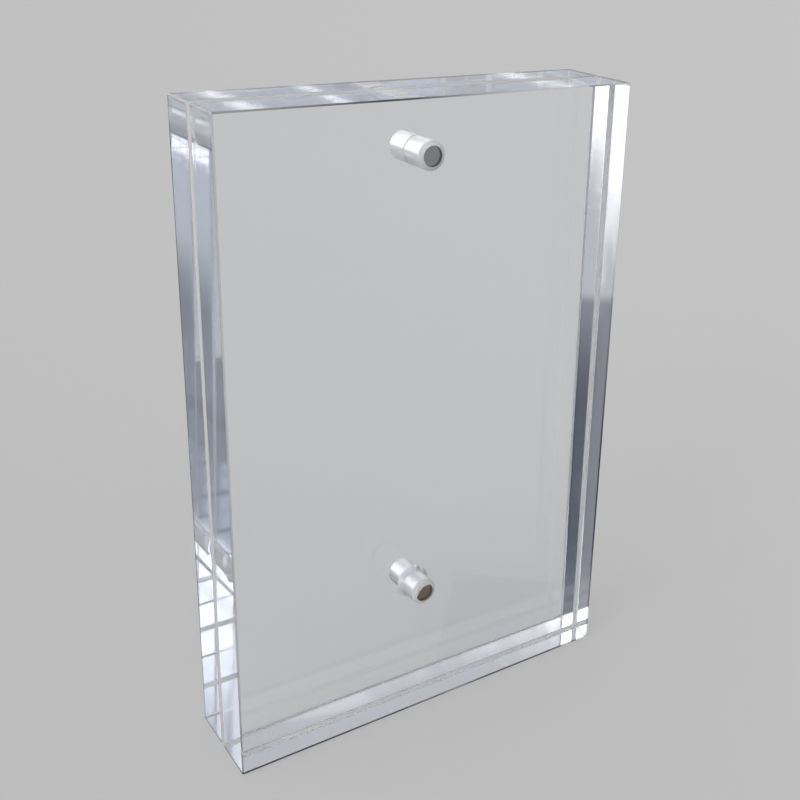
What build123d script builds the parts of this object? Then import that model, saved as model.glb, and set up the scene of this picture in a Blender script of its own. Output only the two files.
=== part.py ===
"""Acrylic block frame: two clear blocks that magnets hold face to face around a print.

The frame stands on z = 0, with its front towards -Y and the viewer's right towards +X.
The blocks meet on the plane y = 0, and the origin is on the base, under the middle of that plane.
"""

import os

from build123d import *

# Clear blocks, in millimetres
frame_width = 101.6  # across the front, for a print 4 inches wide
frame_height = 152.4  # from the base to the top, for a print 6 inches tall
block_depth = 11.6  # one block, from its meeting face to its outer face
meeting_gap = 0.1  # between the two blocks, where the print lies
edge_bevel = 0.3  # polished flat along a block's outer edges
meeting_bevel = 0.8  # wider flat round its meeting face, which takes a fingernail

# Magnets
magnet_diameter = 6.35
magnet_bevel = 0.4  # round both rims
magnet_offset = -2.4  # both pairs sit a little left of the frame's middle
upper_magnet_drop = 12.6  # from the top of the frame down to the upper pair's axis
lower_magnet_rise = 32.5  # from the base up to the lower pair's axis

# Magnet pockets, bored into the blocks from their meeting faces
outer_wall = 0.8  # clear wall between a pocket's flat end and the block's outer face
pocket_clearance = 0.125  # round a magnet's side
seat_film = 0.05  # adhesive under a magnet's bevelled rim
end_taper = 1.0  # 45 degree taper round a pocket's flat end
mouth_easing = 0.1  # rounded rim of a plain mouth
flare_width = 0.95  # how far the flared mouth spreads beyond its pocket's wall
flare_depth = 3.0  # how far in the flare reaches

# The sides of the meeting plane that the two blocks lie on, along Y
FRONT = -1
BACK = 1

# Sizes that follow from those above
upper_magnet_height = frame_height - upper_magnet_drop
lower_magnet_height = lower_magnet_rise
magnet_radius = magnet_diameter / 2
pocket_radius = magnet_radius + pocket_clearance
pocket_depth = block_depth - outer_wall

# A wide taper holds a magnet's rim off the pocket's flat end
rim_step = pocket_radius - (magnet_radius - magnet_bevel)
end_room = max(end_taper - rim_step, 0) + seat_film

# The magnets meet face to face on the meeting plane and reach to their seats in the tapers
magnet_length = meeting_gap / 2 + pocket_depth - end_room


def facing(side, x, y, z):
    """A plane square to the Y axis that looks from the meeting plane into the block on that side."""
    return Plane(origin=(x, side * y, z), x_dir=(1, 0, 0), z_dir=(0, side, 0))


def meeting_face(side):
    """The plane of a block's meeting face, centred on the block."""
    return facing(side, 0, meeting_gap / 2, frame_height / 2)


def pocket_mouth(side, height):
    """The plane of a pocket's mouth, on its block's meeting face."""
    return facing(side, magnet_offset, meeting_gap / 2, height)


def block_blank(side):
    """One block before boring: wide bevels round its meeting face, narrow ones on its other edges."""
    with BuildPart() as blank:
        with BuildSketch(meeting_face(side)):
            Rectangle(frame_width, frame_height)
        extrude(amount=block_depth)
        inner_face, *_, outer_face = sorted(blank.faces(), key=lambda face: side * face.center().Y)
        outer_edges = outer_face.edges()
        chamfer(inner_face.edges(), meeting_bevel)
        chamfer(blank.edges().filter_by(Axis.Y) + outer_edges, edge_bevel)
    return blank.part


def magnet_pocket(mouth_width, mouth_depth):
    """The hollow of one pocket, from its mouth at the origin to its tapered blind end up the Z axis."""
    with BuildPart() as hollow:
        with BuildSketch(Plane.XZ):
            with BuildLine():
                wall_start = (pocket_radius, mouth_depth)
                mouth = TangentArc(wall_start, (pocket_radius + mouth_width, 0), tangent=(0, -1))
                Polyline(
                    wall_start,
                    (pocket_radius, pocket_depth - end_taper),
                    (pocket_radius - end_taper, pocket_depth),
                    (0, pocket_depth),
                    (0, 0),
                    mouth @ 1,
                )
            make_face()
        revolve(axis=Axis.Z)
    return hollow.part


plain_pocket = magnet_pocket(mouth_easing, mouth_easing)
flared_pocket = magnet_pocket(flare_width, flare_depth)

os.makedirs("parts", exist_ok=True)

# Front block: its lower pocket opens in a flare, which guides it onto the magnet behind
with BuildPart() as front_block:
    add(block_blank(FRONT))
    with Locations(pocket_mouth(FRONT, upper_magnet_height)):
        add(plain_pocket, mode=Mode.SUBTRACT)
    with Locations(pocket_mouth(FRONT, lower_magnet_height)):
        add(flared_pocket, mode=Mode.SUBTRACT)

front_block.part.label = "front_block"
export_step(front_block.part, "parts/front_block.step")

# Back block: two plain pockets
with BuildPart() as back_block:
    add(block_blank(BACK))
    with Locations(
        pocket_mouth(BACK, upper_magnet_height),
        pocket_mouth(BACK, lower_magnet_height),
    ):
        add(plain_pocket, mode=Mode.SUBTRACT)

back_block.part.label = "back_block"
export_step(back_block.part, "parts/back_block.step")

# Magnets: plated rods with bevelled rims, one in each pocket
magnet_places = {
    "front_upper_magnet": (FRONT, upper_magnet_height),
    "front_lower_magnet": (FRONT, lower_magnet_height),
    "back_upper_magnet": (BACK, upper_magnet_height),
    "back_lower_magnet": (BACK, lower_magnet_height),
}
for magnet_name, (side, height) in magnet_places.items():
    with BuildPart() as magnet:
        with BuildSketch(facing(side, magnet_offset, 0, height)):
            Circle(magnet_radius)
        extrude(amount=magnet_length)
        chamfer(magnet.edges().filter_by(GeomType.CIRCLE), magnet_bevel)
    magnet.part.label = magnet_name
    export_step(magnet.part, f"parts/{magnet_name}.step")
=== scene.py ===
"""Acrylic block frame: the finish of its two clear blocks and its four rod magnets, in a plain studio.

Lengths are in metres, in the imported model's own frame: the frame stands on z = 0, its front looks
towards -Y, and the two blocks meet on the plane y = 0.
"""

import math

import bmesh
import bpy
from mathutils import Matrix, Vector


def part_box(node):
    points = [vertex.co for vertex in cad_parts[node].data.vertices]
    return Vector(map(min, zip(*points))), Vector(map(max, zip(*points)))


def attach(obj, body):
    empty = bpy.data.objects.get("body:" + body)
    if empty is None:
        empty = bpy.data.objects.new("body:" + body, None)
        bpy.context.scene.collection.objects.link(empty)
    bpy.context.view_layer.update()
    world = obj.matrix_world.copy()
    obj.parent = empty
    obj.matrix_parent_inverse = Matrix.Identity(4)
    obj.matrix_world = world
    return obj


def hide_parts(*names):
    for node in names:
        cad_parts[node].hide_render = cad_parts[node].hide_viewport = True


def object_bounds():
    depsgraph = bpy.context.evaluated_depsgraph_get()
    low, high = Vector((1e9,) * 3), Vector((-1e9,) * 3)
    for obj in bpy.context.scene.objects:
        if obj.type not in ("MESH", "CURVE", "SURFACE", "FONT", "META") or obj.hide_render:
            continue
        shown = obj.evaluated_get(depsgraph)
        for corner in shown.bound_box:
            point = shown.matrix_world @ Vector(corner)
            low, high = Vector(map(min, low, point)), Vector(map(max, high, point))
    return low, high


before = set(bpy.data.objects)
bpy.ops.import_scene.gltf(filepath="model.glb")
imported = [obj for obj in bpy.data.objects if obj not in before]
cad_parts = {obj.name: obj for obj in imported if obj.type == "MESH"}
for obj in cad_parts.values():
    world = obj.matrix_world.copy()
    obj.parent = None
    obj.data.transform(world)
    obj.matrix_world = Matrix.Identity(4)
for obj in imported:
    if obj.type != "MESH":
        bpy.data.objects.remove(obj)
cad_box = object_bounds()

MM = 0.001

# Clear blocks
EDGE_BEVEL = 0.3 * MM  # polished flat along a block's outer edges
MEETING_BEVEL = 0.8 * MM  # wider flat round its meeting face
EDGE_BUFFING = 0.06 * MM  # round that buffing leaves on both sides of a flat
BUFFING_STEPS = 2
CROSS_EDGE_SHARE = 0.8  # of a block's depth: edges longer than this can run along the depth
EDGE_FACE_TILT = 0.5  # an edge face's normal has less than this along Y
FLAT_FACE = 0.99  # a face is slanted where no part of its normal reaches this
FACING = 0.1  # a normal looks some way where it has more than this along it

# Magnet pockets, bored from the meeting faces
POCKET_CLEARANCE = 0.125 * MM  # round a magnet's side
END_ROOM = 0.525 * MM  # between a magnet's end and its pocket's flat end
END_TAPER = 1.0 * MM  # 45 degree taper round that flat end
END_RINGS = 10  # rings of faces on a flat end
END_SKIN = 0.01 * MM  # faces within this of a pocket's full depth are on its flat end
PLAIN_MOUTH = (0.1 * MM, 0.1 * MM)  # how far a mouth spreads beyond the wall, and how far in it reaches
FLARED_MOUTH = (0.95 * MM, 3.0 * MM)
CUTTER_OVERRUN = 1.0 * MM  # how far the cutters stand out of the meeting face
SHARP_FOLD = math.radians(20.0)  # edges that fold more than this stay sharp
ADHESIVE_SIDE = (-0.62, 0.0, 0.78)  # the side from which white adhesive covers a flat end
ADHESIVE_BULGE = 0.2 / MM  # how far its edge bends round the clear part
ADHESIVE_RAGGEDNESS = 0.5 * MM  # of that edge
ADHESIVE_GRAIN = 900.0
ADHESIVE_TAPER_SHARE = 0.9  # of the end taper's depth, from which all of it has adhesive
BARE_END = 5.0 * MM  # clear limits, from the axis towards the adhesive: a whole end is clear
HALF_COVERED_END = 1.5 * MM  # only a part is

# Magnets
MAGNET_BEVEL = 0.4 * MM
MAGNET_RIM_ROUND = 0.15 * MM  # tumbled round on both sides of the bevel
MAGNET_END = 0.999  # the normal of a magnet's flat end has more than this along Y

# Turned shapes
TURNED_SEGMENTS = 96
ROUND_STEPS = 8
SAME_POINT = 0.002 * MM  # points closer than this are joined

# What a mark on a block's faces stands for, each over the ones before it
MARKED_FINISHES = {
    "soft_bevel": "Soft", "sawn_painted_light_bevel": "Sawn", "foot_bevel": "Foot",
    "bored": "Bored", "adhesive": "Adhesive", "clear_end": "Clear End",
}
POCKET_LEVELS = ("Upper", "Lower")
POCKET_SIZES = ("Depth", "End Taper", "Mouth Spread", "Mouth Reach", "Clear Limit")

# Camera, from the photograph's own perspective
CAMERA_PLACE = (-0.12943, -0.21523, 0.19201)
CAMERA_TURN = (69.296, -2.2985, -34.764)  # degrees about X, Y and Z
CAMERA_LENS = 51.94
CAMERA_SENSOR = 36.0
CAMERA_SHIFT = (-0.125, -0.0875)
CAMERA_CLIP = (0.01, 50.0)

# Light paths: rays turn many times inside the blocks
ALL_BOUNCES = 32
GLASS_BOUNCES = 24

# Floor
FLOOR_SIZE = 12.0
FLOOR_DROP = 0.2 * MM  # air under the blocks
FLOOR_TONE = (0.5, 0.5, 0.5)
FLOOR_PATCHES = 9.0  # to the metre
FLOOR_PATCH_SHARE = 0.99  # of the floor's tone, in its patches
FLOOR_ROUGHNESS = 0.6
FLOOR_LEVEL = 0.503  # of the even backdrop
FLOOR_LEVEL_BEHIND = 0.526  # of the backdrop seen through the blocks
FLOOR_EVENNESS = 0.75  # share of that backdrop in the floor, beside its own light and shadow

# Dome in front: an even sky, a soft key light high on the left, and dimmer on the far right
BEHIND_FROM = (0.2, 0.45)  # y of the dome between which its front turns into its back
SKY_LEVEL = 0.95
RIGHT_SKY_LEVEL = 0.3
RIGHT_SKY_FROM = (0.42, 0.75)  # x where it starts, and where it is even
KEY_WAY = (-0.88, -0.08, 0.46)
KEY_LEVEL = 4.5
KEY_SPREAD = (0.86, 0.96)  # cosines at its edge and at its even middle

# Dome behind: low light, a window's height of broken light with slanted bars under it, a white screen
# on the left, which the pocket walls mirror, then a dimmer band and the sky
LOW_LEVEL = 0.72
WINDOW_FROM = (0.25, 0.42)  # z where it starts, and where it is full
WINDOW_LEVEL = 1.5
WINDOW_CONTRAST = 4.0
WINDOW_GRAIN = 70.0
BAR_HEIGHT = ((0.10, 0.12), (0.20, 0.18))  # z where the bars start and end
BAR_HALF_WIDTH = (0.004, 0.001)  # to a bar's outer edge, and to where it is even
LIGHT_BARS = (  # slant, place and level of each
    (2.58, -0.0666, 4.5),
    (2.33, 0.0595, 3.0),
    (5.0, -0.138, 4.5),
)
SCREEN_LEVEL = 2.0
SCREEN_EDGE = (0.15, -0.1)  # x where it starts, and where it is even
DIM_LEVEL = 0.42
DIM_FROM = (0.68, 0.568, 0.533)  # z where the band starts: on the left, in the middle and on the right
DIM_LEFT = (-0.1, -0.3)  # x between which the middle's start turns into the left's
DIM_RIGHT = (0.33, 0.5)  # and into the right's
DIM_BLUR = 0.07  # height over which the band turns even
SKY_FROM = (0.72, 0.85)  # z where the band gives way to the sky
COOL_VEIL = (0.0, 0.012, 0.045)  # bluish haze over the dome's back and the cards

# Glowing card behind the frame on its left, a painted reflection for the right edge to mirror: dark, then
# grey, then white
LEFT_CARD_LIFT = 0.1 * MM  # above the floor
LEFT_CARD_TURNS = 1  # inner reflections after which a ray sees it
LEFT_CARD_START = Vector((0.039, 0.022, 0.0))
LEFT_CARD_WAY = Vector((-0.645, 0.764, 0.0))
LEFT_CARD_REACH = (-0.05, 1.1)
LEFT_CARD_WIDTH = 0.09
LEFT_CARD_GREY_FROM = 0.266
LEFT_CARD_WHITE_FROM = (0.370, 0.586)  # on its outer and its inner half
LEFT_CARD_PARTING = (-0.0020, -0.0055)  # where the two halves part, off its middle line, near and far
LEFT_CARD_FOOT = (0.03, -0.005)  # where it grows lighter towards the frame
LEFT_CARD_FOOT_LEVEL = 0.1
LEFT_CARD_FADE = (0.13, 0.27)  # where its dark part grows lighter
LEFT_CARD_LEVELS = (0.165, 0.02, 0.19, 0.47, 1.3)  # dark outer half, dark inner half, faded, grey, white
LEFT_CARD_STREAKS = (1.2, 700.0)  # to the metre, along the card and across it
LEFT_CARD_RAGGED_EDGE = 1.3  # how far they shift the white part's start
PARTING_BLUR = 0.001
GREY_BLUR = 0.01
WHITE_BLUR = 0.02

# Glowing card on the right of the frame, a painted reflection for the left edge to mirror: dark near the
# frame
RIGHT_CARD_LIFT = 0.15 * MM
RIGHT_CARD_TURNS = 3
RIGHT_CARD_BOX = ((0.0511, -0.64), (0.28, 0.16))  # corners in x and y
RIGHT_CARD_GLOW = (0.060, 0.056)  # x where light gathers at the frame's foot
RIGHT_CARD_FADE = (0.125, 0.172)  # x where it turns from dark to the floor's own tone
RIGHT_CARD_LEVELS = (1.4, 0.17, 0.55, 2.0)  # glow, dark, plain, stripe
RIGHT_CARD_STRIPE = ((0.241, 0.248), (0.261, 0.259))  # x across a white stripe: its soft and its sharp side

# Hairlines and wiping marks
HAIRLINE_LAYERS = (  # turn and stretch of each
    ((0.5, 0.5, 0.35), (900.0, 26.0, 34.0)),
    ((-0.9, -0.9, 0.35), (34.0, 40.0, 1100.0)),
)
HAIRLINE_LIMITS = (0.66, 0.72)  # of the noise, beside a line and on it
MARK_LIMITS = (0.48, 0.78)  # of the noise, where clean and where dull
MARK_DISTORTION = 0.6

# Acrylic. Patches are to the metre, and a pair of roughnesses is the clean one and what dull patches add
ACRYLIC_IOR = 1.49
ABSORPTION_TINT = (0.70, 0.78, 0.93, 1.0)
ABSORPTION_DENSITY = 5.0
CLEAR = (1.0, 1.0, 1.0, 1.0)
POLISH_PATCHES = 28.0
POLISH_ROUGHNESS = (0.008, 0.02)
POLISH_RELIEF = 0.0012 * MM
HAIRLINE_ROUGHNESS = 0.05
HAIRLINE_DEPTH = -0.4  # of the relief
CUTTER_STRETCH = (22.0, 2600.0, 22.0)  # the cutter's lines on the edge faces
CUTTER_ROUGHNESS = 0.03
HAZE_WIDTH = 1.2 * MM  # soft light line where an edge face has been rolled towards its edges
HAZE_CORE = 0.2  # share of that width in which it is full
HAZE_ROUGHNESS = 0.35
TOP_HAZE_SQUEEZE = 0.45  # of the distance from the meeting plane, on the top face
FACE_SKIN = 0.02 * MM  # what lies within this of a face's plane is on that face
# painted shade: near-black tint on the outer rims and bevels, standing in for the dark lines that refraction
# shows there
RIM_PAINTED_SHADE = (0.006, 0.006, 0.007, 1.0)
RIM_SHADE_COVER = (1.0, -0.3)  # where clean, and what dull patches add
RIM_WIDTH = 1.0 * MM  # painted shade: dark line along the outer edges, bevel included
RIM_CORE = 0.7  # share of that width in which it is full
TOP_RIM_STRETCH = 2.6  # how much wider the rims are on the top face
RIGHT_RIM_FADE = (0.135, 0.06)  # heights between which the painted shade on the upright right rim grows dark
RIGHT_RIM_DEPTH = (0.0, -1.0 * MM)  # y between which it does so
TOP_BEVEL_FADE = (-0.01, 0.035)  # places along x where the painted shade on the front's top bevel fades out
UPRIGHT_BEVEL_SHADE = 0.45  # share of the painted shade of the front's level bevels that its upright ones get

# Clouded acrylic: tone and clearness of each kind
SOFT_BEVELS = (0.78, 0.85)  # on the left and the top: the darker, clearer copy
SAWN_PAINTED_LIGHT_BEVELS = (1.0, 0.2)  # painted light: a whiter, less clear copy on the right, and on the back block's outer edge at the foot
FOOT_BEVELS = (1.0, 0.0)  # at the foot of the meeting faces
ADHESIVE = (1.0, 0.0)
CLOUDED_PATCHES = 300.0
CLOUDED_ROUGHNESS = (0.3, 0.15)
CLOUDED_RELIEF = 0.0015 * MM

# Pocket walls and their clear ends
BORED_PATCHES = 260.0
BORED_ROUGHNESS = (0.2, 0.12)
BORED_TONE = (0.93, 0.93, 0.93, 1.0)  # where dull
BORED_CLEARNESS = 0.35
BORED_RELIEF = 0.004 * MM
DRILL_RINGS = 900.0
CLEAR_END_PATCHES = 500.0
CLEAR_END_ROUGHNESS = (0.05, 0.1)
CLEAR_END_RELIEF = 0.004 * MM

# Nickel plate
NICKEL = (0.31, 0.31, 0.305, 1.0)
# painted reflection: dark brown mixed into the nickel's colour on the lower magnets, standing in for mirrored
# brown surroundings
PAINTED_BROWN_REFLECTION = (0.17, 0.078, 0.033, 1.0)
PAINTED_REFLECTION_COVER = (0.8, 0.2)  # where clean, and what dull patches add
NICKEL_PATCHES = 420.0
NICKEL_ROUGHNESS = (0.16, 0.16)
NICKEL_HAIRLINE_ROUGHNESS = 0.2
NICKEL_RELIEF = 0.004 * MM
NICKEL_RELIEF_STRENGTH = 0.6


# Node helpers

def put(tree, value, socket):
    """Links a value to a socket, or sets it there."""
    if isinstance(value, bpy.types.NodeSocket):
        tree.links.new(value, socket)
    else:
        socket.default_value = value


def add(tree, kind, inputs=None, **settings):
    """A new node: settings are its properties, and inputs its sockets' values or links."""
    made = tree.nodes.new(kind)
    for name, value in settings.items():
        setattr(made, name, value)
    for key, value in (inputs or {}).items():
        put(tree, value, made.inputs[key])
    return made


def maths(tree, operation, first, second=0.0, third=0.0):
    """The result of a Math node."""
    return add(tree, "ShaderNodeMath", {0: first, 1: second, 2: third}, operation=operation).outputs[0]


def minus(tree, first, second):
    """The difference of two values."""
    return maths(tree, "SUBTRACT", first, second)


def times(tree, first, *others):
    """The product of several values."""
    for other in others:
        first = maths(tree, "MULTIPLY", first, other)
    return first


def greatest(tree, first, *others):
    """The greatest of several values."""
    for other in others:
        first = maths(tree, "MAXIMUM", first, other)
    return first


def patchy(tree, patches, amounts):
    """The first of two amounts, with the second added where the patches are."""
    return maths(tree, "MULTIPLY_ADD", patches, amounts[1], amounts[0])


def blend(tree, amount, first, second):
    """A value between two others."""
    return add(tree, "ShaderNodeMix", {0: amount, 2: first, 3: second}).outputs[0]


def tint(tree, amount, first, second):
    """A colour between two others."""
    return add(tree, "ShaderNodeMix", {0: amount, 6: first, 7: second}, data_type="RGBA").outputs[2]


def rising(tree, value, low, high):
    """0 before the low value and 1 past the high one, with a soft step between. It falls if low is above."""
    return add(tree, "ShaderNodeMapRange", {0: value, 1: low, 2: high},
               interpolation_type="SMOOTHSTEP").outputs[0]


def vector(tree, x=0.0, y=0.0, z=0.0):
    """A vector from three values or links."""
    return add(tree, "ShaderNodeCombineXYZ", {"X": x, "Y": y, "Z": z}).outputs[0]


def grey(tree, level):
    """A grey of this level."""
    return vector(tree, level, level, level)


def parts_of(tree, source):
    """The X, Y and Z of a vector."""
    return add(tree, "ShaderNodeSeparateXYZ", {0: source}).outputs


def dot(tree, first, second):
    """The scalar product of two vectors."""
    return add(tree, "ShaderNodeVectorMath", {0: first, 1: second}, operation="DOT_PRODUCT").outputs["Value"]


def noise(tree, place, scale, detail, distortion=0.0):
    """A noise texture's grey."""
    return add(tree, "ShaderNodeTexNoise", {"Vector": place, "Scale": scale, "Detail": detail,
                                            "Distortion": distortion}).outputs["Fac"]


def new_group(name, kind, inputs, outputs):
    """An empty node group with named sockets: (name, type) or (name, type, default)."""
    tree = bpy.data.node_groups.new(name, kind)
    for title, socket_type, *default in inputs:
        socket = tree.interface.new_socket(title, in_out="INPUT", socket_type=socket_type)
        if default:
            socket.default_value = default[0]
    for title, socket_type in outputs:
        tree.interface.new_socket(title, in_out="OUTPUT", socket_type=socket_type)
    return tree, tree.nodes.new("NodeGroupInput").outputs, tree.nodes.new("NodeGroupOutput").inputs


# Geometry Nodes: turned shapes

def by_index(tree, kind, values):
    """A field that gives each point its own value, in order."""
    index = add(tree, "GeometryNodeInputIndex").outputs[0]
    switch = add(tree, "GeometryNodeIndexSwitch", {"Index": index}, data_type=kind)
    while len(switch.index_switch_items) < len(values):
        switch.index_switch_items.new()
    for number, value in enumerate(values, start=1):
        put(tree, value, switch.inputs[number])
    return switch.outputs[0]


def marked_faces(tree, geometry, mark, where):
    """The geometry with a named mark on some of its faces."""
    return add(tree, "GeometryNodeStoreNamedAttribute", {"Geometry": geometry, "Name": mark, "Value": where},
               data_type="BOOLEAN", domain="FACE").outputs[0]


def has_mark(tree, mark):
    """A field that is true on the faces with this mark."""
    return add(tree, "GeometryNodeInputNamedAttribute", {"Name": mark}, data_type="BOOLEAN").outputs[0]


def outline_curve(tree, corners):
    """A poly curve through the corners: each is a point and the radius that rounds it."""
    points, radii = zip(*corners)
    line = add(tree, "GeometryNodeMeshLine", {"Count": len(corners)})
    bent = add(tree, "GeometryNodeSetPosition",
               {"Geometry": line.outputs[0], "Position": by_index(tree, "VECTOR", points)})
    curve = add(tree, "GeometryNodeMeshToCurve", {"Mesh": bent.outputs[0]})
    rounded = add(tree, "GeometryNodeFilletCurve",
                  {"Curve": curve.outputs[0], "Radius": by_index(tree, "FLOAT", radii), "Count": ROUND_STEPS},
                  mode="POLY")
    return rounded.outputs[0]


def turned_group():
    """Turns an outline about the Y axis: the outline's x is the radius, its y the place along the axis."""
    tree, given, result = new_group(
        "Turned outline", "GeometryNodeTree",
        [("Outline", "NodeSocketGeometry"), ("Side", "NodeSocketFloat", 1.0),
         ("Segments", "NodeSocketInt", TURNED_SEGMENTS)],
        [("Mesh", "NodeSocketGeometry")])
    rows = add(tree, "GeometryNodeAttributeDomainSize", {"Geometry": given["Outline"]},
               component="CURVE").outputs["Point Count"]
    sheet = add(tree, "GeometryNodeMeshGrid",
                {"Vertices X": maths(tree, "ADD", given["Segments"], 1.0), "Vertices Y": rows})
    index = add(tree, "GeometryNodeInputIndex").outputs[0]
    step = maths(tree, "DIVIDE", -math.tau, given["Segments"])
    angle = times(tree, maths(tree, "FLOOR", maths(tree, "DIVIDE", index, rows)), step)
    corner = add(tree, "GeometryNodeInputPosition").outputs[0]
    on_outline = add(tree, "GeometryNodeSampleIndex",
                     {"Geometry": given["Outline"], "Value": corner,
                      "Index": maths(tree, "MODULO", index, rows)}, data_type="FLOAT_VECTOR")
    part = parts_of(tree, on_outline.outputs[0])
    place = vector(tree,
                   times(tree, part["X"], maths(tree, "COSINE", angle)),
                   times(tree, part["Y"], given["Side"]),
                   times(tree, part["X"], maths(tree, "SINE", angle), given["Side"]))
    turned = add(tree, "GeometryNodeSetPosition", {"Geometry": sheet.outputs["Mesh"], "Position": place})
    closed = add(tree, "GeometryNodeMergeByDistance", {"Geometry": turned.outputs[0], "Distance": SAME_POINT})
    tree.links.new(closed.outputs[0], result["Mesh"])
    return tree


def turned_solid(tree, turned, outline, side):
    """An outline turned inside another tree."""
    return add(tree, "GeometryNodeGroup", {"Outline": outline, "Side": side, "Segments": TURNED_SEGMENTS},
               node_tree=turned).outputs[0]


def pocket_cutter_group(turned):
    """The solid that a magnet pocket removes: a mouth arc tangent to the wall, and a tapered blind end.

    The taper and the flat end are marked as covered with adhesive. The adhesive on the flat end comes
    from one side, and what lies short of the clear limit is marked clear.
    """
    sizes = [(name, "NodeSocketFloat") for name in ("Side", "Radius", "Overrun", *POCKET_SIZES)]
    tree, given, result = new_group("Pocket cutter", "GeometryNodeTree",
                                    [*sizes, ("Centre", "NodeSocketVector")],
                                    [("Mesh", "NodeSocketGeometry")])
    radius, depth, taper = given["Radius"], given["Depth"], given["End Taper"]
    spread, reach = given["Mouth Spread"], given["Mouth Reach"]
    squares = maths(tree, "ADD", times(tree, spread, spread), times(tree, reach, reach))
    arc = maths(tree, "DIVIDE", squares, times(tree, spread, 2.0))
    half_turn = times(tree, maths(tree, "ARCSINE", maths(tree, "DIVIDE", reach, arc)), 0.5)
    corner = minus(tree, reach, times(tree, arc, maths(tree, "TANGENT", half_turn)))
    mouth = maths(tree, "ADD", radius, spread)
    outside = times(tree, given["Overrun"], -1.0)
    corners = [
        (vector(tree, 0.0, outside), 0.0),
        (vector(tree, mouth, outside), 0.0),
        (vector(tree, mouth, 0.0), 0.0),
        (vector(tree, radius, corner), arc),
        (vector(tree, radius, minus(tree, depth, taper)), 0.0),
    ]
    end_radius = minus(tree, radius, taper)
    for ring in range(END_RINGS + 1):
        corners.append((vector(tree, times(tree, end_radius, 1.0 - ring / END_RINGS), depth), 0.0))
    solid = turned_solid(tree, turned, outline_curve(tree, corners), given["Side"])

    place = add(tree, "GeometryNodeInputPosition").outputs[0]
    in_depth = times(tree, parts_of(tree, place)["Y"], given["Side"])
    covered_from = maths(tree, "MULTIPLY_ADD", taper, -ADHESIVE_TAPER_SHARE, depth)
    covered = maths(tree, "GREATER_THAN", in_depth, covered_from)
    on_end = maths(tree, "GREATER_THAN", in_depth, minus(tree, depth, END_SKIN))
    along = dot(tree, place, ADHESIVE_SIDE)
    across = dot(tree, place, (ADHESIVE_SIDE[2], 0.0, -ADHESIVE_SIDE[0]))
    bulging = maths(tree, "MULTIPLY_ADD", times(tree, across, across), ADHESIVE_BULGE, along)
    ragged = minus(tree, noise(tree, place, ADHESIVE_GRAIN, 1.0), 0.5)
    towards_adhesive = maths(tree, "MULTIPLY_ADD", ragged, ADHESIVE_RAGGEDNESS, bulging)
    bare = maths(tree, "LESS_THAN", towards_adhesive, given["Clear Limit"])
    marked = marked_faces(tree, solid, "adhesive", covered)
    marked = marked_faces(tree, marked, "clear_end", times(tree, on_end, bare))
    moved = add(tree, "GeometryNodeTransform", {"Geometry": marked, "Translation": given["Centre"]})
    tree.links.new(moved.outputs[0], result["Mesh"])
    return tree


def bored_block_tree(cutter):
    """Bores the two magnet pockets into a block and gives its marked faces their own finish."""
    sizes = [(name, "NodeSocketFloat") for name in ("Side", "Pocket Radius", "Overrun")]
    for level in POCKET_LEVELS:
        sizes += [(f"{level} {name}", "NodeSocketFloat") for name in POCKET_SIZES]
        sizes.append((f"{level} Centre", "NodeSocketVector"))
    finishes = [(name, "NodeSocketMaterial") for name in ("Polished", *MARKED_FINISHES.values())]
    tree, given, result = new_group("Bored block", "GeometryNodeTree",
                                    [("Block", "NodeSocketGeometry"), *sizes, *finishes],
                                    [("Mesh", "NodeSocketGeometry")])
    cutters = add(tree, "GeometryNodeJoinGeometry")
    for level in POCKET_LEVELS:
        shared = {"Side": given["Side"], "Radius": given["Pocket Radius"], "Overrun": given["Overrun"]}
        own = {name: given[f"{level} {name}"] for name in (*POCKET_SIZES, "Centre")}
        pocket = add(tree, "GeometryNodeGroup", {**shared, **own}, node_tree=cutter)
        tree.links.new(pocket.outputs[0], cutters.inputs[0])
    marked = marked_faces(tree, cutters.outputs[0], "bored", True)
    cut = add(tree, "GeometryNodeMeshBoolean", {"Mesh 1": given["Block"], "Mesh 2": marked},
              operation="DIFFERENCE", solver="EXACT")
    smooth = add(tree, "GeometryNodeSetShadeSmooth",
                 {"Geometry": cut.outputs[0], "Shade Smooth": has_mark(tree, "bored")}, domain="FACE")
    fold = add(tree, "GeometryNodeInputMeshEdgeAngle").outputs["Unsigned Angle"]
    sharp = maths(tree, "GREATER_THAN", fold, SHARP_FOLD)
    rims = add(tree, "GeometryNodeSetShadeSmooth",
               {"Geometry": smooth.outputs[0], "Selection": sharp, "Shade Smooth": False}, domain="EDGE")
    whole = add(tree, "GeometryNodeRealizeInstances", {"Geometry": rims.outputs[0]})
    finished = add(tree, "GeometryNodeSetMaterial",
                   {"Geometry": whole.outputs[0], "Material": given["Polished"]})
    for mark, finish in MARKED_FINISHES.items():
        finished = add(tree, "GeometryNodeSetMaterial",
                       {"Geometry": finished.outputs[0], "Selection": has_mark(tree, mark),
                        "Material": given[finish]})
    tree.links.new(finished.outputs[0], result["Mesh"])
    return tree


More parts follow.
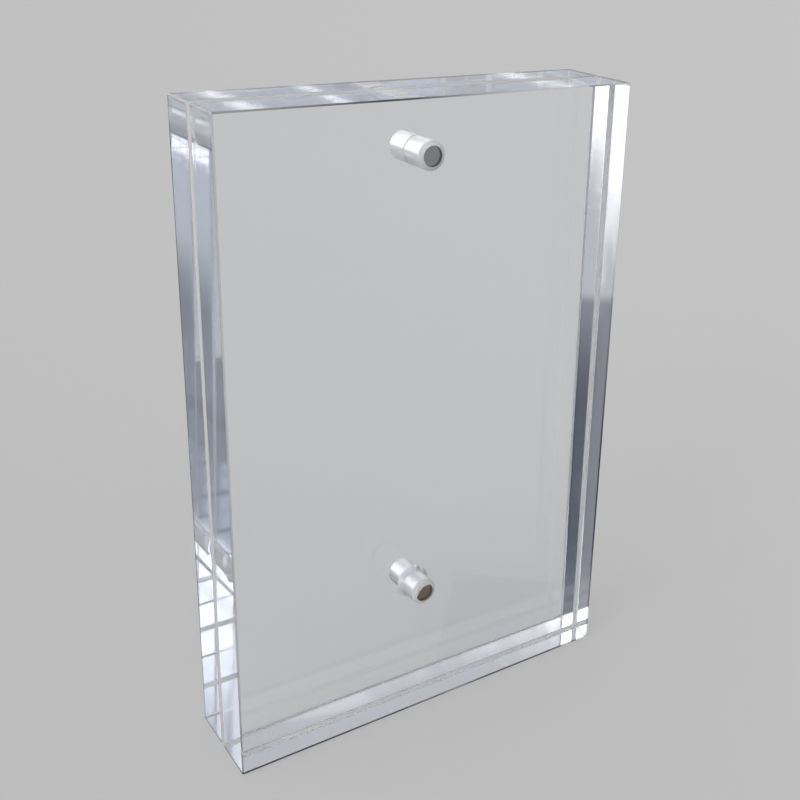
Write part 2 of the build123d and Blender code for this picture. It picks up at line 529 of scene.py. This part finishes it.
def magnet_pair_tree(turned):
    """The two rod magnets of one block: a bevelled rod, placed on the lower and the upper axis."""
    sizes = [(name, "NodeSocketFloat") for name in
             ("Side", "Radius", "Start", "Length", "Bevel", "Rim Round", "Lower Tarnish", "Upper Tarnish")]
    places = [("Lower Axis", "NodeSocketVector"), ("Spacing", "NodeSocketVector")]
    tree, given, result = new_group("Magnet pair", "GeometryNodeTree",
                                    [*sizes, *places, ("Plating", "NodeSocketMaterial")],
                                    [("Mesh", "NodeSocketGeometry")])
    radius, start, bevel, rim = given["Radius"], given["Start"], given["Bevel"], given["Rim Round"]
    end = maths(tree, "ADD", start, given["Length"])
    inner = minus(tree, radius, bevel)
    corners = [
        (vector(tree, 0.0, start), 0.0),
        (vector(tree, inner, start), rim),
        (vector(tree, radius, maths(tree, "ADD", start, bevel)), rim),
        (vector(tree, radius, minus(tree, end, bevel)), rim),
        (vector(tree, inner, end), rim),
        (vector(tree, 0.0, end), 0.0),
    ]
    rod = turned_solid(tree, turned, outline_curve(tree, corners), given["Side"])
    axes = add(tree, "GeometryNodeMeshLine",
               {"Count": 2, "Start Location": given["Lower Axis"], "Offset": given["Spacing"]})
    upper = add(tree, "GeometryNodeInputIndex").outputs[0]
    # painted reflection: full on the lower magnet, none on the upper
    painted_reflection = blend(tree, upper, given["Lower Tarnish"], given["Upper Tarnish"])
    marked = add(tree, "GeometryNodeStoreNamedAttribute",
                 {"Geometry": axes.outputs[0], "Name": "painted_reflection", "Value": painted_reflection},
                 data_type="FLOAT", domain="POINT")
    rods = add(tree, "GeometryNodeInstanceOnPoints", {"Points": marked.outputs[0], "Instance": rod})
    whole = add(tree, "GeometryNodeRealizeInstances", {"Geometry": rods.outputs[0]})
    normal = add(tree, "GeometryNodeInputNormal").outputs[0]
    flat = maths(tree, "GREATER_THAN", maths(tree, "ABSOLUTE", parts_of(tree, normal)["Y"]), MAGNET_END)
    smooth = add(tree, "GeometryNodeSetShadeSmooth",
                 {"Geometry": whole.outputs[0], "Shade Smooth": minus(tree, 1.0, flat)}, domain="FACE")
    plated = add(tree, "GeometryNodeSetMaterial",
                 {"Geometry": smooth.outputs[0], "Material": given["Plating"]})
    tree.links.new(plated.outputs[0], result["Mesh"])
    return tree


def grow(obj, tree, values):
    """Runs a tree on an object with these named inputs and keeps the result as the object's plain mesh."""
    modifier = obj.modifiers.new(tree.name, "NODES")
    modifier.node_group = tree
    for item in tree.interface.items_tree:
        if item.in_out == "INPUT" and item.name in values:
            modifier[item.identifier] = values[item.name]
    graph = bpy.context.evaluated_depsgraph_get()
    made = bpy.data.meshes.new_from_object(obj.evaluated_get(graph), preserve_all_data_layers=True,
                                           depsgraph=graph)
    obj.modifiers.clear()
    seed_mesh = obj.data
    obj.data = made
    made.name = obj.name
    bpy.data.meshes.remove(seed_mesh)


def new_object(name, mesh=None):
    """An object at the origin, linked to the scene."""
    obj = bpy.data.objects.new(name, mesh or bpy.data.meshes.new(name))
    bpy.context.scene.collection.objects.link(obj)
    return obj


def object_from(name, shape):
    """An object with the mesh of a bmesh shape, which is freed."""
    mesh = bpy.data.meshes.new(name)
    shape.to_mesh(mesh)
    shape.free()
    return new_object(name, mesh)


# Shader node groups

def fine_scratches_group():
    """Hairlines in two crossing directions: 1 on a line, 0 beside it."""
    tree, given, result = new_group("Fine scratches", "ShaderNodeTree",
                                    [("Vector", "NodeSocketVector")], [("Lines", "NodeSocketFloat")])
    lines = []
    for turn, stretch in HAIRLINE_LAYERS:
        laid = add(tree, "ShaderNodeMapping", {"Vector": given["Vector"], "Rotation": turn, "Scale": stretch})
        lines.append(rising(tree, noise(tree, laid.outputs[0], 1.0, 1.0), *HAIRLINE_LIMITS))
    tree.links.new(greatest(tree, *lines), result["Lines"])
    return tree


def handling_marks_group():
    """Soft cloudy patches that wiping and fingers leave: 0 clean to 1 dull."""
    tree, given, result = new_group(
        "Handling marks", "ShaderNodeTree",
        [("Vector", "NodeSocketVector"), ("Scale", "NodeSocketFloat")],
        [("Dull", "NodeSocketFloat")])
    cloud = noise(tree, given["Vector"], given["Scale"], 2.0, MARK_DISTORTION)
    tree.links.new(rising(tree, cloud, *MARK_LIMITS), result["Dull"])
    return tree


def hairlines(tree, scratches, where):
    """The hairlines of a material."""
    return add(tree, "ShaderNodeGroup", {"Vector": where}, node_tree=scratches).outputs["Lines"]


def dull_patches(tree, marks, where, scale):
    """The dull patches of a material, so many to the metre."""
    return add(tree, "ShaderNodeGroup", {"Vector": where, "Scale": scale}, node_tree=marks).outputs["Dull"]


# Materials

def new_material(name):
    """A material whose tree holds only an output and the place on the object."""
    material = bpy.data.materials.new(name)
    material.use_nodes = True
    tree = material.node_tree
    tree.nodes.clear()
    output = tree.nodes.new("ShaderNodeOutputMaterial")
    where = tree.nodes.new("ShaderNodeTexCoord").outputs["Object"]
    return material, tree, output, where


def stored(tree, name):
    """A value that the mesh carries."""
    return add(tree, "ShaderNodeAttribute", attribute_name=name).outputs["Fac"]


def relief(tree, height, depth, strength=1.0):
    """The normals of a surface with this fine relief."""
    return add(tree, "ShaderNodeBump", {"Strength": strength, "Distance": depth, "Height": height}).outputs[0]


def acrylic_shader(tree, output, colour, roughness, normal, clearness=1.0):
    """An acrylic surface: clear, or clouded where its clearness is below 1."""
    shader = add(tree, "ShaderNodeBsdfPrincipled",
                 {"Base Color": colour, "Roughness": roughness, "IOR": ACRYLIC_IOR,
                  "Transmission Weight": clearness, "Normal": normal})
    tree.links.new(shader.outputs[0], output.inputs["Surface"])


def edge_haze(tree, part, on_top, low, high):
    """1 towards the meeting plane and the ends of an edge face, 0 away from them."""
    middle = (low + high) / 2
    from_side = minus(tree, high.x, maths(tree, "ABSOLUTE", part["X"]))
    off_middle = maths(tree, "ABSOLUTE", minus(tree, part["Z"], middle.z))
    from_end = greatest(tree, from_side, minus(tree, high.z - middle.z, off_middle))
    squeeze = blend(tree, on_top, 1.0, TOP_HAZE_SQUEEZE)
    from_meeting = times(tree, maths(tree, "ABSOLUTE", part["Y"]), squeeze)
    nearest = maths(tree, "MINIMUM", from_end, from_meeting)
    return rising(tree, nearest, HAZE_WIDTH, HAZE_CORE * HAZE_WIDTH)


def rim_along(tree, place, plane, inwards, stretch):
    """1 within a rim's width of a face's plane, but 0 on that face."""
    depth = times(tree, minus(tree, place, plane), inwards)
    within = rising(tree, maths(tree, "DIVIDE", depth, stretch), RIM_WIDTH, RIM_CORE * RIM_WIDTH)
    return times(tree, within, rising(tree, depth, 0.5 * FACE_SKIN, FACE_SKIN))


def painted_dark_rims(tree, part, on_top, low, high):
    """1 on the dark lines of painted shade along the foot, the right edge and the back edge."""
    stretch = blend(tree, on_top, 1.0, TOP_RIM_STRETCH)
    off_back = rising(tree, part["Y"], high.y - FACE_SKIN, high.y - 2 * FACE_SKIN)
    off_right = rising(tree, part["X"], high.x - FACE_SKIN, high.x - 2 * FACE_SKIN)
    off_foot = rising(tree, part["Z"], low.z + FACE_SKIN, low.z + 2 * FACE_SKIN)
    foot = times(tree, rim_along(tree, part["Z"], low.z, 1.0, stretch), off_back)
    right = times(tree, rim_along(tree, part["X"], high.x, -1.0, stretch),
                  greatest(tree, on_top, rising(tree, part["Z"], *RIGHT_RIM_FADE)),
                  greatest(tree, on_top, rising(tree, part["Y"], *RIGHT_RIM_DEPTH)))
    back = times(tree, rim_along(tree, part["Y"], high.y, -1.0, stretch), off_right, off_foot)
    return greatest(tree, foot, right, back)


def polished_acrylic(scratches, marks, low, high):
    """Polished faces of a frame with this box: hairlines, faint wiping marks, and the edges' finish.

    The edge faces have the cutter's lines and are hazy towards their edges, and painted shade makes them dark
    along the outer rims.
    """
    material, tree, output, where = new_material("polished_acrylic")
    part = parts_of(tree, where)
    on_edge = stored(tree, "edge_face")
    on_top = rising(tree, part["Z"], high.z - 2 * FACE_SKIN, high.z - FACE_SKIN)
    hairline = hairlines(tree, scratches, where)
    dull = dull_patches(tree, marks, where, POLISH_PATCHES)
    along = add(tree, "ShaderNodeMapping", {"Vector": where, "Scale": CUTTER_STRETCH})
    cutter_lines = times(tree, noise(tree, along.outputs[0], 1.0, 1.0), on_edge)
    haze = times(tree, on_edge, edge_haze(tree, part, on_top, low, high))
    roughness = patchy(tree, dull, POLISH_ROUGHNESS)
    for layer, added in ((hairline, HAIRLINE_ROUGHNESS), (cutter_lines, CUTTER_ROUGHNESS),
                         (haze, HAZE_ROUGHNESS)):
        roughness = maths(tree, "MULTIPLY_ADD", layer, added, roughness)
    height = maths(tree, "MULTIPLY_ADD", hairline, HAIRLINE_DEPTH, cutter_lines)
    # painted shade on the front's outer bevels and on the rims, fading out along part of the top bevel
    on_top_bevel = rising(tree, part["Z"], high.z - 2 * EDGE_BEVEL, high.z - EDGE_BEVEL)
    unshaded = times(tree, on_top_bevel, rising(tree, part["X"], *TOP_BEVEL_FADE))
    bevel = times(tree, stored(tree, "painted_bevel_shade"), minus(tree, 1.0, unshaded))
    rim = greatest(tree, bevel, painted_dark_rims(tree, part, on_top, low, high))
    painted_shade = times(tree, rim, patchy(tree, dull, RIM_SHADE_COVER))
    acrylic_shader(tree, output, tint(tree, painted_shade, CLEAR, RIM_PAINTED_SHADE), roughness,
                   relief(tree, height, POLISH_RELIEF))
    body = add(tree, "ShaderNodeVolumeAbsorption", {"Color": ABSORPTION_TINT, "Density": ABSORPTION_DENSITY})
    tree.links.new(body.outputs[0], output.inputs["Volume"])
    return material


def clouded_acrylic(name, marks, tone, clearness):
    """Bevels that the saw left matt, or adhesive: whitish, and clear only in part or not at all."""
    material, tree, output, where = new_material(name)
    dull = dull_patches(tree, marks, where, CLOUDED_PATCHES)
    acrylic_shader(tree, output, (tone, tone, tone, 1.0), patchy(tree, dull, CLOUDED_ROUGHNESS),
                   relief(tree, dull, CLOUDED_RELIEF), clearness)
    return material


def clear_end_acrylic(marks):
    """Flat pocket ends that adhesive has wetted clear, a little uneven."""
    material, tree, output, where = new_material("clear_end_acrylic")
    dull = dull_patches(tree, marks, where, CLEAR_END_PATCHES)
    acrylic_shader(tree, output, CLEAR, patchy(tree, dull, CLEAR_END_ROUGHNESS),
                   relief(tree, dull, CLEAR_END_RELIEF))
    return material


def bored_acrylic(marks):
    """Pocket walls: white and half matt from the drill, with its rings."""
    material, tree, output, where = new_material("bored_acrylic")
    dull = dull_patches(tree, marks, where, BORED_PATCHES)
    rings = add(tree, "ShaderNodeTexWave",
                {"Vector": where, "Scale": DRILL_RINGS, "Distortion": 1.5, "Detail": 2.0},
                wave_type="BANDS", bands_direction="Y")
    acrylic_shader(tree, output, tint(tree, dull, CLEAR, BORED_TONE), patchy(tree, dull, BORED_ROUGHNESS),
                   relief(tree, rings.outputs["Fac"], BORED_RELIEF), BORED_CLEARNESS)
    return material


def bright_nickel(scratches, marks):
    """Nickel plate: bright, with scuffs and cloudy patches, and a painted brown reflection on the lower
    magnets.
    """
    material, tree, output, where = new_material("bright_nickel")
    hairline = hairlines(tree, scratches, where)
    dull = dull_patches(tree, marks, where, NICKEL_PATCHES)
    painted_reflection = times(tree, stored(tree, "painted_reflection"), patchy(tree, dull, PAINTED_REFLECTION_COVER))
    roughness = maths(tree, "MULTIPLY_ADD", hairline, NICKEL_HAIRLINE_ROUGHNESS,
                      patchy(tree, dull, NICKEL_ROUGHNESS))
    shader = add(tree, "ShaderNodeBsdfPrincipled",
                 {"Base Color": tint(tree, painted_reflection, NICKEL, PAINTED_BROWN_REFLECTION), "Metallic": 1.0, "Roughness": roughness,
                  "Normal": relief(tree, hairline, NICKEL_RELIEF, NICKEL_RELIEF_STRENGTH)})
    tree.links.new(shader.outputs[0], output.inputs["Surface"])
    return material


def pale_floor(marks):
    """Matt pale grey board with a hardly visible mottle."""
    material, tree, output, where = new_material("pale_floor")
    mottle = dull_patches(tree, marks, where, FLOOR_PATCHES)
    patch_tone = [FLOOR_PATCH_SHARE * part for part in FLOOR_TONE]
    tone = tint(tree, mottle, (*FLOOR_TONE, 1.0), (*patch_tone, 1.0))
    board = add(tree, "ShaderNodeBsdfDiffuse", {"Color": tone, "Roughness": FLOOR_ROUGHNESS})
    path = tree.nodes.new("ShaderNodeLightPath").outputs
    seen = greatest(tree, path["Is Camera Ray"], path["Is Glossy Ray"], path["Is Transmission Ray"])
    level = blend(tree, path["Is Transmission Ray"], FLOOR_LEVEL, FLOOR_LEVEL_BEHIND)
    even = add(tree, "ShaderNodeEmission", {"Color": CLEAR, "Strength": level})
    share = times(tree, seen, FLOOR_EVENNESS)
    shader = add(tree, "ShaderNodeMixShader", {0: share, 1: board.outputs[0], 2: even.outputs[0]})
    tree.links.new(shader.outputs[0], output.inputs["Surface"])
    return material


# Pieces

def bevelled_block(name, low, high, side):
    """A block with flat, buffed bevels on all edges, and with marks on its edge faces and bevels."""
    shape = bmesh.new()
    bmesh.ops.create_cube(shape, size=1.0)
    bmesh.ops.scale(shape, verts=shape.verts, vec=high - low)
    bmesh.ops.translate(shape, verts=shape.verts, vec=(low + high) / 2)
    meeting_y, outer_y = (low.y, high.y) if side > 0 else (high.y, low.y)

    def bevel(edges, width, steps):
        bmesh.ops.bevel(shape, geom=edges, offset=width, offset_type="OFFSET", segments=steps,
                        profile=0.5, affect="EDGES", clamp_overlap=True)

    def lies_at(edge, y):
        return all(abs(vert.co.y - y) < EDGE_BUFFING for vert in edge.verts)

    def runs_back(edge):
        run = abs(edge.verts[0].co.y - edge.verts[1].co.y)
        return edge.calc_length() > CROSS_EDGE_SHARE * (high.y - low.y) and run > MEETING_BEVEL

    bevel([edge for edge in shape.edges if lies_at(edge, meeting_y)], MEETING_BEVEL, 1)
    bevel([edge for edge in shape.edges if lies_at(edge, outer_y) or runs_back(edge)], EDGE_BEVEL, 1)
    bevel(shape.edges[:], EDGE_BUFFING, BUFFING_STEPS)
    bmesh.ops.recalc_face_normals(shape, faces=shape.faces)
    edge_face = shape.faces.layers.float.new("edge_face")
    painted_bevel_shade = shape.faces.layers.float.new("painted_bevel_shade")
    soft_bevel = shape.faces.layers.bool.new("soft_bevel")
    sawn_painted_light_bevel = shape.faces.layers.bool.new("sawn_painted_light_bevel")
    foot_bevel = shape.faces.layers.bool.new("foot_bevel")
    for face in shape.faces:
        slanted = max(abs(part) for part in face.normal) < FLAT_FACE
        outward = face.normal.y * side > FACING
        inward = face.normal.y * side < -FACING
        # painted light: bevels towards the right or the foot get the whiter, less clear copy of the matt
        # finish
        painted_light_side = face.normal.x - face.normal.z > FACING
        upright = abs(face.normal.x) > abs(face.normal.z)
        # painted shade on the front block's outer bevels, weaker on the upright ones
        painted_shade = UPRIGHT_BEVEL_SHADE if upright else 1.0
        face[edge_face] = 1.0 if abs(face.normal.y) < EDGE_FACE_TILT else 0.0
        face[painted_bevel_shade] = painted_shade if slanted and outward and side < 0 else 0.0
        face[soft_bevel] = slanted and not painted_light_side and (side > 0 or not outward)
        face[sawn_painted_light_bevel] = slanted and painted_light_side and (inward or outward and side > 0)
        face[foot_bevel] = slanted and inward and face.normal.z < -FACING
    return object_from(name, shape)


def centre_of(node):
    """The middle of a CAD node's box."""
    low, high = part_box(node)
    return (Vector(low) + Vector(high)) / 2


def clear_block(body, side, tree, finishes, lower_mouth):
    """One block of the frame: body is front or back, and lower_mouth the lower pocket's mouth."""
    low, high = (Vector(corner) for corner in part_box(f"{body}_block"))
    block = bevelled_block(f"clear_{body}_block", low, high, side)
    meeting_face = low.y if side > 0 else high.y
    values = {"Side": side, "Overrun": CUTTER_OVERRUN, **finishes}
    pockets = (("Upper", PLAIN_MOUTH, BARE_END), ("Lower", lower_mouth, HALF_COVERED_END))
    for level, mouth, clear_limit in pockets:
        magnet = f"{body}_{level.lower()}_magnet"
        magnet_low, magnet_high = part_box(magnet)
        axis = centre_of(magnet)
        magnet_end = max(abs(magnet_low[1]), abs(magnet_high[1]))
        values["Pocket Radius"] = (magnet_high[0] - magnet_low[0]) / 2 + POCKET_CLEARANCE
        values[f"{level} Depth"] = magnet_end + END_ROOM - abs(meeting_face)
        values[f"{level} End Taper"] = END_TAPER
        values[f"{level} Clear Limit"] = clear_limit
        values[f"{level} Mouth Spread"], values[f"{level} Mouth Reach"] = mouth
        values[f"{level} Centre"] = (axis.x, meeting_face, axis.z)
    grow(block, tree, values)
    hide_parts(f"{body}_block")
    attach(block, body)


def magnet_pair(body, side, tree, plating):
    """The two magnets that ride in one block."""
    lower, upper = (f"{body}_{level}_magnet" for level in ("lower", "upper"))
    low, high = (Vector(corner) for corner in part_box(lower))
    axis = centre_of(lower)
    pair = new_object(f"{body}_magnets")
    # the lower magnets carry the painted brown reflection, the upper ones none
    grow(pair, tree, {
        "Side": side, "Radius": (high.x - low.x) / 2, "Start": min(abs(low.y), abs(high.y)),
        "Length": high.y - low.y, "Bevel": MAGNET_BEVEL, "Rim Round": MAGNET_RIM_ROUND,
        "Lower Axis": (axis.x, 0.0, axis.z), "Spacing": centre_of(upper) - axis,
        "Lower Tarnish": 1.0, "Upper Tarnish": 0.0, "Plating": plating})
    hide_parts(lower, upper)
    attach(pair, body)


# Studio

def studio_floor(finish):
    """A large plain floor just under the blocks."""
    shape = bmesh.new()
    bmesh.ops.create_grid(shape, x_segments=1, y_segments=1, size=FLOOR_SIZE / 2)
    bmesh.ops.translate(shape, verts=shape.verts, vec=(0.0, 0.0, -FLOOR_DROP))
    floor = object_from("studio_floor", shape)
    floor.data.materials.append(finish)


def flat_card(name, lift, corners, finish):
    """A flat stage card just above the floor for a painted reflection. Only rays that the frame's faces have
    turned can see it, and it lights and shades nothing.
    """
    mesh = bpy.data.meshes.new(name)
    height = lift - FLOOR_DROP
    mesh.from_pydata([(corner[0], corner[1], height) for corner in corners], [], [range(len(corners))])
    mesh.materials.append(finish)
    card = new_object(name, mesh)
    card.visible_camera = False
    card.visible_diffuse = False
    card.visible_shadow = False
    card.visible_volume_scatter = False


def cooled(tree, level):
    """A grey of this level under the bluish haze."""
    return add(tree, "ShaderNodeVectorMath", {0: grey(tree, level), 1: COOL_VEIL}, operation="ADD").outputs[0]


def card_shader(tree, output, level, turns):
    """Light of this level for rays that left the frame after at least so many inner reflections."""
    path = tree.nodes.new("ShaderNodeLightPath").outputs
    turned = maths(tree, "GREATER_THAN", path["Glossy Depth"], turns - 0.5)
    seen = times(tree, turned, path["Is Transmission Ray"])
    light = add(tree, "ShaderNodeEmission", {"Color": cooled(tree, level), "Strength": 1.0})
    open_air = tree.nodes.new("ShaderNodeBsdfTransparent")
    mixed = add(tree, "ShaderNodeMixShader", {0: seen, 1: open_air.outputs[0], 2: light.outputs[0]})
    tree.links.new(mixed.outputs[0], output.inputs["Surface"])


def left_reflection_card():
    """The long glowing card, a painted reflection for the frame's right edge to mirror."""
    material, tree, output, where = new_material("left_reflection_card")
    way_across = Vector((LEFT_CARD_WAY.y, -LEFT_CARD_WAY.x, 0.0))
    from_start = add(tree, "ShaderNodeVectorMath", {0: where, 1: LEFT_CARD_START},
                     operation="SUBTRACT").outputs[0]
    along = dot(tree, from_start, LEFT_CARD_WAY)
    aside = dot(tree, from_start, way_across)
    parting = blend(tree, rising(tree, along, 0.0, LEFT_CARD_GREY_FROM), *LEFT_CARD_PARTING)
    inner = rising(tree, minus(tree, aside, parting), -PARTING_BLUR, PARTING_BLUR)
    streaks_along, streaks_across = LEFT_CARD_STREAKS
    streak_place = vector(tree, times(tree, along, streaks_along), times(tree, aside, streaks_across))
    ragged = minus(tree, noise(tree, streak_place, 1.0, 2.0), 0.5)
    ragged_along = maths(tree, "MULTIPLY_ADD", ragged, LEFT_CARD_RAGGED_EDGE, along)
    dark_outer, dark_inner, faded, mid_grey, white = LEFT_CARD_LEVELS
    level = blend(tree, inner, dark_outer, dark_inner)
    level = maths(tree, "MULTIPLY_ADD", rising(tree, along, *LEFT_CARD_FOOT), LEFT_CARD_FOOT_LEVEL, level)
    level = blend(tree, rising(tree, along, *LEFT_CARD_FADE), level, faded)
    in_grey = rising(tree, along, LEFT_CARD_GREY_FROM - GREY_BLUR, LEFT_CARD_GREY_FROM + GREY_BLUR)
    level = blend(tree, in_grey, level, mid_grey)
    white_from = blend(tree, inner, *LEFT_CARD_WHITE_FROM)
    in_white = rising(tree, minus(tree, ragged_along, white_from), -WHITE_BLUR, WHITE_BLUR)
    card_shader(tree, output, blend(tree, in_white, level, white), LEFT_CARD_TURNS)
    near, far = (LEFT_CARD_START + LEFT_CARD_WAY * reach for reach in LEFT_CARD_REACH)
    half = way_across * LEFT_CARD_WIDTH / 2
    flat_card("left_reflection_card", LEFT_CARD_LIFT, [near - half, near + half, far + half, far - half], material)


def right_reflection_card():
    """The glowing card, a painted reflection for the frame's left edge to mirror."""
    material, tree, output, where = new_material("right_reflection_card")
    out = parts_of(tree, where)["X"]
    glow, dark, plain, stripe = RIGHT_CARD_LEVELS
    level = blend(tree, rising(tree, out, *RIGHT_CARD_FADE), dark, plain)
    level = blend(tree, rising(tree, out, *RIGHT_CARD_GLOW), level, glow)
    soft_side, sharp_side = RIGHT_CARD_STRIPE
    in_stripe = times(tree, rising(tree, out, *soft_side), rising(tree, out, *sharp_side))
    card_shader(tree, output, blend(tree, in_stripe, level, stripe), RIGHT_CARD_TURNS)
    (low_x, low_y), (high_x, high_y) = RIGHT_CARD_BOX
    flat_card("right_reflection_card", RIGHT_CARD_LIFT,
              [(low_x, low_y), (high_x, low_y), (high_x, high_y), (low_x, high_y)], material)


def dome_front(tree, direction, part):
    """The dome's level in front: the sky, its dimmer right and the key light."""
    towards_key = dot(tree, direction, Vector(KEY_WAY).normalized())
    level = blend(tree, rising(tree, part["X"], *RIGHT_SKY_FROM), SKY_LEVEL, RIGHT_SKY_LEVEL)
    return blend(tree, rising(tree, towards_key, *KEY_SPREAD), level, KEY_LEVEL)


def dome_back(tree, direction, part):
    """The dome's level behind the frame: low light, window, bars, screen, dimmer band and sky."""
    broken = minus(tree, noise(tree, direction, WINDOW_GRAIN, 3.0, 1.0), 0.5)
    window = maths(tree, "MULTIPLY_ADD", broken, WINDOW_CONTRAST, WINDOW_LEVEL)
    level = blend(tree, rising(tree, part["Z"], *WINDOW_FROM), LOW_LEVEL, window)
    bar_start, bar_end = BAR_HEIGHT
    in_height = times(tree, rising(tree, part["Z"], *bar_start), rising(tree, part["Z"], *bar_end))
    for slant, place, bar_level in LIGHT_BARS:
        across = minus(tree, maths(tree, "MULTIPLY_ADD", part["Z"], -slant, part["X"]), place)
        in_bar = rising(tree, maths(tree, "ABSOLUTE", across), *BAR_HALF_WIDTH)
        level = blend(tree, times(tree, in_bar, in_height), level, bar_level)
    level = blend(tree, rising(tree, part["X"], *SCREEN_EDGE), level, SCREEN_LEVEL)
    on_left, in_middle, on_right = DIM_FROM
    dim_from = blend(tree, rising(tree, part["X"], *DIM_RIGHT), in_middle, on_right)
    dim_from = blend(tree, rising(tree, part["X"], *DIM_LEFT), dim_from, on_left)
    level = blend(tree, rising(tree, minus(tree, part["Z"], dim_from), 0.0, DIM_BLUR), level, DIM_LEVEL)
    return blend(tree, rising(tree, part["Z"], *SKY_FROM), level, SKY_LEVEL)


def studio_light():
    """A pale dome, neutral in front and a little cool behind the frame."""
    world = bpy.data.worlds.new("studio_dome")
    bpy.context.scene.world = world
    world.use_nodes = True
    tree = world.node_tree
    tree.nodes.clear()
    direction = tree.nodes.new("ShaderNodeTexCoord").outputs["Generated"]
    part = parts_of(tree, direction)
    front = grey(tree, dome_front(tree, direction, part))
    back = cooled(tree, dome_back(tree, direction, part))
    colour = tint(tree, rising(tree, part["Y"], *BEHIND_FROM), front, back)
    background = add(tree, "ShaderNodeBackground", {"Color": colour, "Strength": 1.0})
    output = tree.nodes.new("ShaderNodeOutputWorld")
    tree.links.new(background.outputs[0], output.inputs["Surface"])


def studio_camera():
    """The camera at the photograph's place."""
    camera = bpy.data.cameras.new("studio_camera")
    camera.lens = CAMERA_LENS
    camera.sensor_width = CAMERA_SENSOR
    camera.sensor_fit = "HORIZONTAL"
    camera.shift_x, camera.shift_y = CAMERA_SHIFT
    camera.clip_start, camera.clip_end = CAMERA_CLIP
    holder = bpy.data.objects.new("studio_camera", camera)
    holder.location = CAMERA_PLACE
    holder.rotation_euler = [math.radians(turn) for turn in CAMERA_TURN]
    bpy.context.scene.collection.objects.link(holder)
    bpy.context.scene.camera = holder


scene = bpy.context.scene
scene.view_settings.view_transform = "Standard"
scene.cycles.max_bounces = ALL_BOUNCES
scene.cycles.glossy_bounces = GLASS_BOUNCES
scene.cycles.transmission_bounces = GLASS_BOUNCES

scratches = fine_scratches_group()
marks = handling_marks_group()
turned = turned_group()
block_tree = bored_block_tree(pocket_cutter_group(turned))
pair_tree = magnet_pair_tree(turned)

frame_low, frame_high = (Vector(corner) for corner in cad_box)
finishes = {
    "Polished": polished_acrylic(scratches, marks, frame_low, frame_high),
    "Soft": clouded_acrylic("soft_acrylic", marks, *SOFT_BEVELS),
    "Sawn": clouded_acrylic("sawn_painted_light_acrylic", marks, *SAWN_PAINTED_LIGHT_BEVELS),
    "Foot": clouded_acrylic("foot_acrylic", marks, *FOOT_BEVELS),
    "Adhesive": clouded_acrylic("adhesive_acrylic", marks, *ADHESIVE),
    "Bored": bored_acrylic(marks),
    "Clear End": clear_end_acrylic(marks),
}
plating = bright_nickel(scratches, marks)
for body, side, lower_mouth in (("front", -1.0, FLARED_MOUTH), ("back", 1.0, PLAIN_MOUTH)):
    clear_block(body, side, block_tree, finishes, lower_mouth)
    magnet_pair(body, side, pair_tree, plating)

studio_floor(pale_floor(marks))
# painted reflections: glowing cards that only rays turned inside the frame can see
left_reflection_card()
right_reflection_card()
studio_light()
studio_camera()
